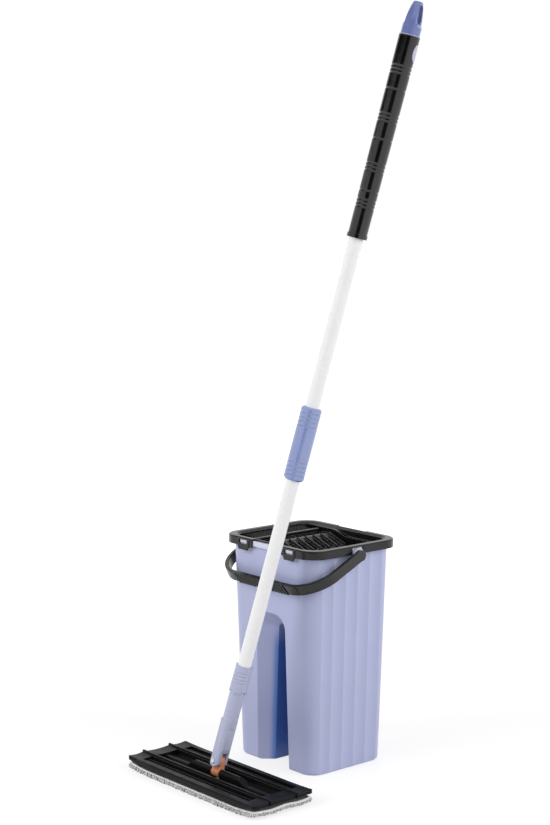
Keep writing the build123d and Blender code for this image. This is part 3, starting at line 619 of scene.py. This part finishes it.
@dataclass
class Studio:
    """The camera, the white floor, the soft lamps and the dark flags."""

    camera_at: Place = (2.1867, -1.9513, 0.9559)
    camera_turn: Angles = (82.771, 0.0, 49.416)
    lens: float = 77.88
    floor_size: float = 30.0
    floor_tone: float = 0.65
    floor_glow: float = 0.70
    floor_shade: float = 0.34
    glow_from: float = 0.45
    glow_until: float = 2.2
    ambient: float = 0.52
    target: Place = (0.05, -0.1, 0.45)
    lamps: tuple[Softbox, ...] = (RIGHT_SOFTBOX, FRONT_SOFTBOX, BACK_SOFTBOX)
    flags: tuple[Flag, ...] = (CAMERA_FLAG, LEFT_FLAG)

    def build(self) -> None:
        """Set up the camera, the lamps, the backdrop and the floor."""
        self.set_camera()
        for lamp in self.lamps:
            lamp.hang(Vector(self.target))
        self.set_world()
        self.add_floor()
        for flag in self.flags:
            flag.stand()
        bpy.context.scene.view_settings.view_transform = "Standard"

    def set_camera(self) -> None:
        """Place the camera where the photograph was taken from."""
        data = bpy.data.cameras.new("camera")
        data.lens = self.lens
        camera = bpy.data.objects.new("camera", data)
        camera.location = self.camera_at
        camera.rotation_euler = [math.radians(a) for a in self.camera_turn]
        bpy.context.scene.collection.objects.link(camera)
        bpy.context.scene.camera = camera

    def seen(self, tree: Tree) -> Socket:
        """A mask of the rays that see the backdrop itself.

        Args:
            tree: The node tree to add the mask to.

        Returns:
            1 for camera, glossy and transmission rays, 0 for the rest.
        """
        path = tree.nodes.new("ShaderNodeLightPath")
        total = path.outputs["Is Camera Ray"]
        for kind in ("Is Glossy Ray", "Is Transmission Ray"):
            larger = tree.nodes.new("ShaderNodeMath")
            larger.operation = "MAXIMUM"
            tree.links.new(total, larger.inputs[0])
            tree.links.new(path.outputs[kind], larger.inputs[1])
            total = larger.outputs[0]
        return total

    def set_world(self) -> None:
        """White where it is seen, a plain soft light elsewhere."""
        world = bpy.data.worlds.new("backdrop")
        world.use_nodes = True
        bpy.context.scene.world = world
        tree = world.node_tree
        light = tree.nodes["Background"]
        light.inputs["Strength"].default_value = self.ambient
        light.inputs["Color"].default_value = grey(1.0)
        white = tree.nodes.new("ShaderNodeBackground")
        white.inputs["Color"].default_value = grey(1.0)
        mix = tree.nodes.new("ShaderNodeMixShader")
        tree.links.new(self.seen(tree), mix.inputs[0])
        tree.links.new(light.outputs[0], mix.inputs[1])
        tree.links.new(white.outputs[0], mix.inputs[2])
        tree.links.new(mix.outputs[0], tree.nodes["World Output"].inputs["Surface"])

    def add_floor(self) -> None:
        """A pale floor that turns white to the camera but keeps the shadow."""
        shape = bmesh.new()
        bmesh.ops.create_grid(shape, x_segments=1, y_segments=1, size=self.floor_size / 2.0)
        mesh = bpy.data.meshes.new("floor")
        shape.to_mesh(mesh)
        shape.free()
        floor = bpy.data.objects.new("floor", mesh)
        bpy.context.scene.collection.objects.link(floor)
        mesh.materials.append(self.floor_paint())

    def brightness(self, tree: Tree) -> Socket:
        """How white the floor looks by itself, full away from the object.

        Args:
            tree: The floor's node tree.

        Returns:
            The strength of the floor's own white.
        """
        away = tree.nodes.new("ShaderNodeVectorMath")
        away.operation = "LENGTH"
        tree.links.new(tree.nodes.new("ShaderNodeTexCoord").outputs["Object"], away.inputs[0])
        rise = tree.nodes.new("ShaderNodeMapRange")
        rise.interpolation_type = "SMOOTHSTEP"
        rise.inputs["From Min"].default_value = self.glow_from
        rise.inputs["From Max"].default_value = self.glow_until
        rise.inputs["To Min"].default_value = self.floor_glow
        rise.inputs["To Max"].default_value = 1.0
        tree.links.new(away.outputs["Value"], rise.inputs["Value"])
        return rise.outputs["Result"]

    def floor_paint(self) -> bpy.types.Material:
        """The floor's material.

        Returns:
            Plain pale paint for the light, and white with a faint shadow for the eye.
        """
        paint = bpy.data.materials.new("floor_paint")
        paint.use_nodes = True
        tree = paint.node_tree
        tree.nodes.remove(tree.nodes["Principled BSDF"])
        plain = tree.nodes.new("ShaderNodeBsdfDiffuse")
        plain.inputs["Color"].default_value = grey(self.floor_tone)
        faint = tree.nodes.new("ShaderNodeBsdfDiffuse")
        faint.inputs["Color"].default_value = grey(self.floor_shade)
        glow = tree.nodes.new("ShaderNodeEmission")
        tree.links.new(self.brightness(tree), glow.inputs["Strength"])
        both = tree.nodes.new("ShaderNodeAddShader")
        tree.links.new(faint.outputs[0], both.inputs[0])
        tree.links.new(glow.outputs[0], both.inputs[1])
        mix = tree.nodes.new("ShaderNodeMixShader")
        tree.links.new(self.seen(tree), mix.inputs[0])
        tree.links.new(plain.outputs[0], mix.inputs[1])
        tree.links.new(both.outputs[0], mix.inputs[2])
        tree.links.new(mix.outputs[0], tree.nodes["Material Output"].inputs["Surface"])
        return paint


@dataclass
class BucketBody:
    """The two-legged bucket shell."""

    finish: Finish = LILAC_SHELL

    def dress(self) -> None:
        """Give the shell its plastic."""
        dress("bucket_body", self.finish)


@dataclass
class WringerCover:
    """The black tray with its wringing gear."""

    finish: Finish = BLACK_COVER
    grate: Finish = BLACK_GRATE
    board: Finish = BLACK_BOARD
    rubber: Finish = RUBBER

    def dress(self) -> None:
        """Give the tray, its grate, its bar and its rubber lips their finishes."""
        for node in ("cover_tray", "scraper_bar", "squeegee_frame"):
            dress(node, self.finish)
        dress("drain_ramp", self.grate)
        dress("washboard", self.board)
        for node in ("squeegee_lip_left", "squeegee_lip_right"):
            dress(node, self.rubber)


@dataclass
class BailHandle:
    """The swinging strap handle."""

    finish: Finish = BLACK_BAIL

    def dress(self) -> None:
        """Give the handle its plastic."""
        dress("bail_handle", self.finish)


@dataclass
class MopHead:
    """The base plate with its looped pad and the universal joint."""

    voxel: float = 0.0045
    pressure: float = 4.0
    cloth_frames: int = 20
    swell_cap: float = 0.0022
    shrink: float = 0.0012
    sole: float = 0.0022
    curl_from: float = 0.10
    curl: float = 0.0045
    corner: float = 0.009
    corner_cuts: int = 6
    sag: float = 0.4
    sag_run: float = 0.057
    hem_height: float = 0.0040
    hem_proud: float = 0.0012
    hem_depth: float = 0.003
    hem_tuck: float = 0.0035
    hem_cuts: int = 20
    loop_pitch: float = 0.0040
    loop_rows: int = 2
    loop_radius: float = 0.0023
    loop_arc: float = 230.0
    loop_cuts: int = 7
    loop_turn: float = 0.7
    loop_sway: float = 0.5
    loop_spread: float = 0.2
    loop_inset: float = 0.45
    inset_jitter: tuple[float, float] = (-0.0003, 0.0005)
    row_inset: float = 0.6
    row_rise: float = 0.5
    stagger: float = 0.5
    pitch_jitter: float = 0.3
    yarn_radius: float = 0.0010
    yarn_sides: int = 6
    pile_pitch: float = 0.0046
    pile_start: tuple[float, float] = (1.25, 1.5)
    floor_gap: float = 0.0002
    seed: int = 7

    def build(self) -> None:
        """Make the pad, the hem round it and the yarn loops at its edge and under it."""
        low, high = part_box("microfibre_pad")
        self.low = Vector(low)
        self.high = Vector(high)
        self.size = self.high - self.low
        self.middle = (self.low + self.high) / 2.0
        self.chance = random.Random(self.seed)
        self.build_pad()
        self.build_hem()
        loop = self.yarn_loop()
        self.build_loops(loop)
        self.build_pile(loop)
        bpy.data.meshes.remove(loop)

    def lift(self, at: Vector) -> float:
        """How far the pad curls up at a place, less where the cloth sags between its folds.

        Args:
            at: The place, in metres.

        Returns:
            The rise in metres.
        """
        past = max(0.0, abs(at.x - self.middle.x) - self.curl_from)
        fold = 0.5 - 0.5 * math.cos(math.tau * (at.y - self.high.y) / self.sag_run)
        run = self.size.x / 2.0 - self.curl_from
        return self.curl * (past / run) ** 2 * (1.0 - self.sag * fold)

    def build_pad(self) -> None:
        """The stuffed pad, swollen by simulation and curled up at both ends."""
        shape = bmesh.new()
        shape.from_mesh(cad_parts["microfibre_pad"].data)
        bmesh.ops.remove_doubles(shape, verts=shape.verts[:], dist=1e-5)
        for vert in shape.verts:
            inward = self.middle - vert.co
            step = [math.copysign(self.shrink, d) if abs(d) > self.shrink else d for d in inward]
            vert.co += Vector(step)
        pad = new_piece("looped_pad", shape, MICROFIBRE_PAINTED_SHADE, "head")
        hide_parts("microfibre_pad")
        remesh = pad.modifiers.new("even", "REMESH")
        remesh.mode = "VOXEL"
        remesh.voxel_size = self.voxel
        self.apply(pad)
        self.inflate(pad)
        for vert in pad.data.vertices:
            vert.co.z = min(max(vert.co.z, self.sole), self.high.z) + self.lift(vert.co)
        finer = pad.modifiers.new("finer", "SUBSURF")
        finer.levels = 1
        finer.render_levels = 1
        pad.data.polygons.foreach_set("use_smooth", [True] * len(pad.data.polygons))

    def apply(self, piece: bpy.types.Object) -> None:
        """Bake a piece's modifiers into its mesh.

        Args:
            piece: The object whose modifiers are applied.
        """
        graph = bpy.context.evaluated_depsgraph_get()
        baked = bpy.data.meshes.new_from_object(piece.evaluated_get(graph))
        piece.modifiers.clear()
        piece.data = baked

    def inflate(self, pad: bpy.types.Object) -> None:
        """Swell the pad with cloth pressure, each point no further than the cap.

        Args:
            pad: The remeshed pad.
        """
        start = [vert.co.copy() for vert in pad.data.vertices]
        cloth = pad.modifiers.new("fill", "CLOTH")
        cloth.settings.use_pressure = True
        cloth.settings.uniform_pressure_force = self.pressure
        cloth.settings.effector_weights.gravity = 0.0
        cloth.point_cache.frame_start = 1
        cloth.point_cache.frame_end = self.cloth_frames
        for number in range(1, self.cloth_frames + 1):
            bpy.context.scene.frame_set(number)
        self.apply(pad)
        bpy.context.scene.frame_set(1)
        for vert, place in zip(pad.data.vertices, start):
            move = vert.co - place
            if move.length > self.swell_cap:
                vert.co = place + move.normalized() * self.swell_cap

    def outward(self, at: Vector) -> Vector:
        """The level direction out of the pad's rounded outline at a place on it.

        Args:
            at: The place.

        Returns:
            A direction of length 1.
        """
        reach = self.size / 2.0 - Vector((self.corner, self.corner, 0.0))
        near = [
            max(-reach[axis], min(reach[axis], at[axis] - self.middle[axis])) for axis in (0, 1)
        ]
        away = Vector((at.x - self.middle.x - near[0], at.y - self.middle.y - near[1], 0.0))
        return away.normalized()

    def build_hem(self) -> None:
        """The tape sewn round the pad's upper edge, tucked in along the long sides."""
        shape = bmesh.new()
        bmesh.ops.create_grid(shape, x_segments=1, y_segments=1, size=0.5)
        across = self.size.y - 2.0 * self.hem_tuck
        bmesh.ops.scale(shape, verts=shape.verts[:], vec=(self.size.x, across, 1.0))
        bmesh.ops.bevel(
            shape, geom=shape.verts[:], affect="VERTICES", offset=self.corner,
            offset_type="OFFSET", segments=self.corner_cuts, profile=0.5, material=-1,
        )
        long_edges = [edge for edge in shape.edges if edge.calc_length() > self.size.y / 2.0]
        bmesh.ops.subdivide_edges(shape, edges=long_edges, cuts=self.hem_cuts)
        bmesh.ops.delete(shape, geom=shape.faces[:], context="FACES_ONLY")
        start = self.high.z - self.hem_height - self.hem_proud
        at = Vector((self.middle.x, self.middle.y, start))
        bmesh.ops.translate(shape, verts=shape.verts[:], vec=at)
        first = shape.edges[:]
        rim = first
        third = self.hem_height / 3.0
        proud = self.hem_proud
        section = ((proud, third), (0.0, third), (-proud, third), (-self.hem_depth, 0.0))
        for step, rise in section:
            grown = bmesh.ops.extrude_edge_only(shape, edges=rim)["geom"]
            rim = [item for item in grown if isinstance(item, bmesh.types.BMEdge)]
            for vert in [item for item in grown if isinstance(item, bmesh.types.BMVert)]:
                vert.co += self.outward(vert.co) * step + Vector((0.0, 0.0, rise))
        bmesh.ops.bridge_loops(shape, edges=first + rim)
        for vert in shape.verts:
            vert.co.z += self.lift(vert.co)
        bmesh.ops.recalc_face_normals(shape, faces=shape.faces[:])
        smooth(shape)
        new_piece("pad_hem", shape, HEM_TAPE, "head")

    def yarn_loop(self) -> bpy.types.Mesh:
        """One loop of yarn about the origin, in the XZ plane, that bulges towards +X.

        Returns:
            The loop's mesh, of a few dozen faces.
        """
        shape = bmesh.new()
        made = bmesh.ops.create_circle(shape, segments=self.yarn_sides, radius=self.yarn_radius)
        ring = made["verts"]
        bmesh.ops.translate(shape, verts=ring, vec=(self.loop_radius, 0.0, 0.0))
        start = Matrix.Rotation(math.radians(-self.loop_arc / 2.0), 3, "Y")
        bmesh.ops.rotate(shape, verts=ring, cent=ORIGIN, matrix=start)
        bmesh.ops.spin(
            shape, geom=shape.verts[:] + shape.edges[:], cent=ORIGIN, axis=(0.0, 1.0, 0.0),
            dvec=ORIGIN, angle=math.radians(self.loop_arc), steps=self.loop_cuts, use_merge=False,
        )
        ends = [edge for edge in shape.edges if edge.is_boundary]
        bmesh.ops.holes_fill(shape, edges=ends, sides=0)
        bmesh.ops.recalc_face_normals(shape, faces=shape.faces[:])
        smooth(shape)
        mesh = bpy.data.meshes.new("yarn_loop")
        shape.to_mesh(mesh)
        shape.free()
        return mesh

    def jitter(self) -> float:
        """A random share of the pitch by which a loop strays along its row."""
        return self.chance.uniform(-self.pitch_jitter, self.pitch_jitter)

    def add_loop(self, shape: Shape, loop: bpy.types.Mesh, place: Matrix) -> None:
        """Add one loop of its own size and turn to a mesh.

        Args:
            shape: The mesh to add to.
            loop: The loop's mesh.
            place: Where the loop goes.
        """
        turn = Matrix.Rotation(self.chance.uniform(-self.loop_turn, self.loop_turn), 4, "Z")
        sway = Matrix.Rotation(self.chance.uniform(-self.loop_sway, self.loop_sway), 4, "X")
        size = self.chance.uniform(1.0 - self.loop_spread, 1.0 + self.loop_spread)
        grow = Matrix.Scale(size, 4)
        shaped = loop.copy()
        shaped.transform(place @ turn @ sway @ grow)
        shape.from_mesh(shaped)
        bpy.data.meshes.remove(shaped)

    def build_loops(self, loop: bpy.types.Mesh) -> None:
        """Rows of yarn loops that bulge out under the hem.

        Args:
            loop: The loop's mesh.
        """
        shape = bmesh.new()
        straight = 2.0 * (self.size.x + self.size.y - 4.0 * self.corner)
        around = straight + math.tau * self.corner
        count = round(around / self.loop_pitch)
        for row in range(self.loop_rows):
            for number in range(count):
                along = around * (number + self.stagger * row + self.jitter()) / count
                at = self.edge_point(along % around)
                outward = self.outward(at)
                inset = self.loop_radius * (self.loop_inset + self.row_inset * row)
                at -= outward * (inset - self.chance.uniform(*self.inset_jitter))
                rise = self.yarn_radius * (1.0 + self.row_rise * row)
                at.z = self.loop_radius + rise + self.lift(at)
                facing = Vector((1.0, 0.0, 0.0)).rotation_difference(outward).to_matrix().to_4x4()
                self.add_loop(shape, loop, Matrix.Translation(at) @ facing)
        self.finish_yarn("pad_loops", shape)

    def build_pile(self, loop: bpy.types.Mesh) -> None:
        """The loops that cover the pad's sole.

        Args:
            loop: The loop's mesh.
        """
        shape = bmesh.new()
        down = turned(90.0, "Y")
        columns = round((self.size.x - 2.0 * self.pile_pitch) / self.pile_pitch)
        rows = round((self.size.y - 2.0 * self.pile_pitch) / self.pile_pitch)
        for column in range(columns):
            for row in range(rows):
                shift = self.jitter() + self.stagger * (row % 2)
                at = Vector((
                    self.low.x + self.pile_pitch * (self.pile_start[0] + column + shift / 2.0),
                    self.low.y + self.pile_pitch * (self.pile_start[1] + row + self.jitter()),
                    0.0,
                ))
                at.z = self.loop_radius + self.yarn_radius + self.lift(at)
                spin = Matrix.Rotation(self.chance.uniform(0.0, math.pi), 4, "Z")
                self.add_loop(shape, loop, Matrix.Translation(at) @ spin @ down)
        self.finish_yarn("pad_pile", shape)

    def finish_yarn(self, name: str, shape: Shape) -> None:
        """Press loops flat on the floor and make them a piece.

        Args:
            name: The piece's name.
            shape: The loops.
        """
        for vert in shape.verts:
            vert.co.z = max(vert.co.z, self.floor_gap + self.lift(vert.co))
        new_piece(name, shape, LOOP_YARN, "head")

    def edge_point(self, along: float) -> Vector:
        """A place on the pad's rounded outline.

        Args:
            along: The way round from the start of the front edge, in metres.

        Returns:
            The place at floor level.
        """
        reach = self.size / 2.0 - Vector((self.corner, self.corner, 0.0))
        arc = math.pi / 2.0 * self.corner
        for side in range(4):
            facing = math.radians(90.0 * side - 90.0)
            run = 2.0 * reach[side % 2]
            bend = max(0.0, min(arc, along - run)) / self.corner
            if along <= run + arc:
                break
            along -= run + arc
        sign_x, sign_y = ((-1.0, -1.0), (1.0, -1.0), (1.0, 1.0), (-1.0, 1.0))[side]
        tangent = Vector((-math.sin(facing), math.cos(facing), 0.0))
        start = Vector((
            self.middle.x + sign_x * reach.x, self.middle.y + sign_y * reach.y, 0.0
        ))
        away = Vector((math.cos(facing + bend), math.sin(facing + bend), 0.0))
        return start + tangent * min(along, run) + away * self.corner

    def dress(self) -> None:
        """Give the plate, its strips, its pins and its yoke their finishes."""
        dress("mop_plate", BLACK_PLATE)
        for node in ("hook_strip_front", "hook_strip_back"):
            dress(node, HOOK_TAPE)
        dress("trunnion_pin", STEEL)
        dress("yoke", ORANGE_YOKE)


@dataclass
class Pole:
    """The two-piece pole with its socket, sleeve, grip and cap."""

    tilt: float = 11.08
    fold: float = 9.35
    grip_turn: float = 24.0
    trunnion: Place = (0.0234, -0.219, 0.0234)
    axis_step: float = 0.018
    cap_tip: float = 1.232
    cap_shoulder: float = 1.198
    flat_at_tip: float = 0.006
    flat_at_shoulder: float = 0.0095
    eye_length: float = 0.029
    eye_width: float = 0.0135
    eye_from_tip: float = 0.0045
    rim_width: float = 0.0011
    rim_proud: float = 0.0006
    rim_sunk: float = 0.0001
    rim_cuts: int = 28
    ring_sides: int = 10
    ring_cuts: int = 64
    bead_at: float = 1.1800
    bead_radius: float = 0.0156
    bead_thick: float = 0.0008
    lip_at: float = 1.1783
    lip_radius: float = 0.0158
    lip_thick: float = 0.0009

    def place(self) -> Matrix:
        """Where the grip's own upright frame lies.

        Returns:
            The matrix from the upright grip to the leaning one.
        """
        joint = Matrix.Translation(self.trunnion) @ turned(-self.tilt, "X")
        pin = Matrix.Translation((0.0, 0.0, self.axis_step)) @ turned(self.fold, "Y")
        return joint @ pin @ turned(self.grip_turn, "Z")

    def build(self) -> None:
        """Make the pale bead at the cap's foot, the grip's upper lip and the eye's raised rims."""
        bead = self.ring(self.bead_at, self.bead_radius, self.bead_thick)
        new_piece("cap_bead", bead, LILAC_FITTING, "pole")
        lip = self.ring(self.lip_at, self.lip_radius, self.lip_thick)
        new_piece("grip_lip", lip, BLACK_GRIP, "pole")
        shape = bmesh.new()
        for side in (-1.0, 1.0):
            self.add_rim(shape, side)
        bmesh.ops.recalc_face_normals(shape, faces=shape.faces[:])
        smooth(shape)
        new_piece("eye_rim", shape, SLATE_CAP, "pole")

    def ring(self, station: float, radius: float, thick: float) -> Shape:
        """A round bead about the grip's axis.

        Args:
            station: Its height along the upright grip.
            radius: The radius of its middle line.
            thick: The radius of its own section.

        Returns:
            The bead's mesh, in its leaning place.
        """
        shape = bmesh.new()
        section = bmesh.ops.create_circle(shape, segments=self.ring_sides, radius=thick)["verts"]
        sideways = Matrix.Rotation(math.radians(90.0), 3, "X")
        bmesh.ops.rotate(shape, verts=section, cent=ORIGIN, matrix=sideways)
        bmesh.ops.translate(shape, verts=section, vec=(radius, 0.0, station))
        bmesh.ops.spin(
            shape, geom=shape.verts[:] + shape.edges[:], cent=(0.0, 0.0, station),
            axis=(0.0, 0.0, 1.0), dvec=ORIGIN, angle=math.tau, steps=self.ring_cuts,
            use_merge=True,
        )
        bmesh.ops.recalc_face_normals(shape, faces=shape.faces[:])
        bmesh.ops.transform(shape, matrix=self.place(), verts=shape.verts[:])
        smooth(shape)
        return shape

    def add_rim(self, shape: Shape, side: float) -> None:
        """Add one oval rim on a slanted flat of the cap.

        Args:
            shape: The mesh to add to.
            side: 1 for the flat at +X of the upright cap, -1 for the other.
        """
        half = self.eye_width / 2.0
        ring = bmesh.ops.create_circle(shape, segments=self.rim_cuts, radius=half)["verts"]
        run = (self.eye_length - self.eye_width) / 2.0
        for vert in ring:
            vert.co.y += math.copysign(run, vert.co.y)
        edges = [edge for edge in shape.edges if edge.verts[0] in ring and edge.verts[1] in ring]
        outer = bmesh.ops.extrude_edge_only(shape, edges=edges)["geom"]
        verts = [item for item in outer if isinstance(item, bmesh.types.BMVert)]
        for vert in verts:
            straight = max(-run, min(run, vert.co.y))
            away = Vector((vert.co.x, vert.co.y - straight, 0.0)).normalized()
            vert.co += away * self.rim_width
        faces = [item for item in outer if isinstance(item, bmesh.types.BMFace)]
        top = bmesh.ops.extrude_face_region(shape, geom=faces)["geom"]
        raised = [item for item in top if isinstance(item, bmesh.types.BMVert)]
        bmesh.ops.translate(shape, verts=raised, vec=(0.0, 0.0, self.rim_proud))
        whole = ring + verts + raised
        slope = (self.flat_at_tip - self.flat_at_shoulder) / (self.cap_tip - self.cap_shoulder)
        middle = self.cap_tip - self.eye_from_tip - self.eye_length / 2.0
        out = self.flat_at_shoulder + slope * (middle - self.cap_shoulder) - self.rim_sunk
        upright = Matrix((
            (0.0, slope, 1.0, out),
            (1.0, 0.0, 0.0, 0.0),
            (0.0, 1.0, 0.0, middle),
            (0.0, 0.0, 0.0, 1.0),
        ))
        mirrored = Matrix.Diagonal((side, 1.0, 1.0, 1.0))
        bmesh.ops.transform(shape, matrix=self.place() @ mirrored @ upright, verts=whole)

    def dress(self) -> None:
        """Give every piece of the pole its finish."""
        for node in ("pole_socket", "socket_collar"):
            dress(node, LILAC_FITTING)
        dress("coupling_sleeve", BLUE_SLEEVE)
        for node in ("lower_tube", "upper_tube"):
            dress(node, WHITE_TUBE)
        for node in ("tube_end_plug", "lower_insert", "upper_insert"):
            dress(node, GREY_INSERT)
        dress("hinge_pin", STEEL)
        dress("grip", BLACK_GRIP)
        dress("grip_inlay", PALE_INLAY)
        dress("hanging_cap", SLATE_CAP)


def main() -> None:
    """Build the studio and dress the mop set, piece by piece."""
    logging.basicConfig(level=logging.INFO, format="%(name)s: %(message)s")
    Studio().build()
    BucketBody().dress()
    WringerCover().dress()
    BailHandle().dress()
    head = MopHead()
    head.build()
    head.dress()
    pole = Pole()
    pole.build()
    pole.dress()


if __name__ == "__main__":
    main()
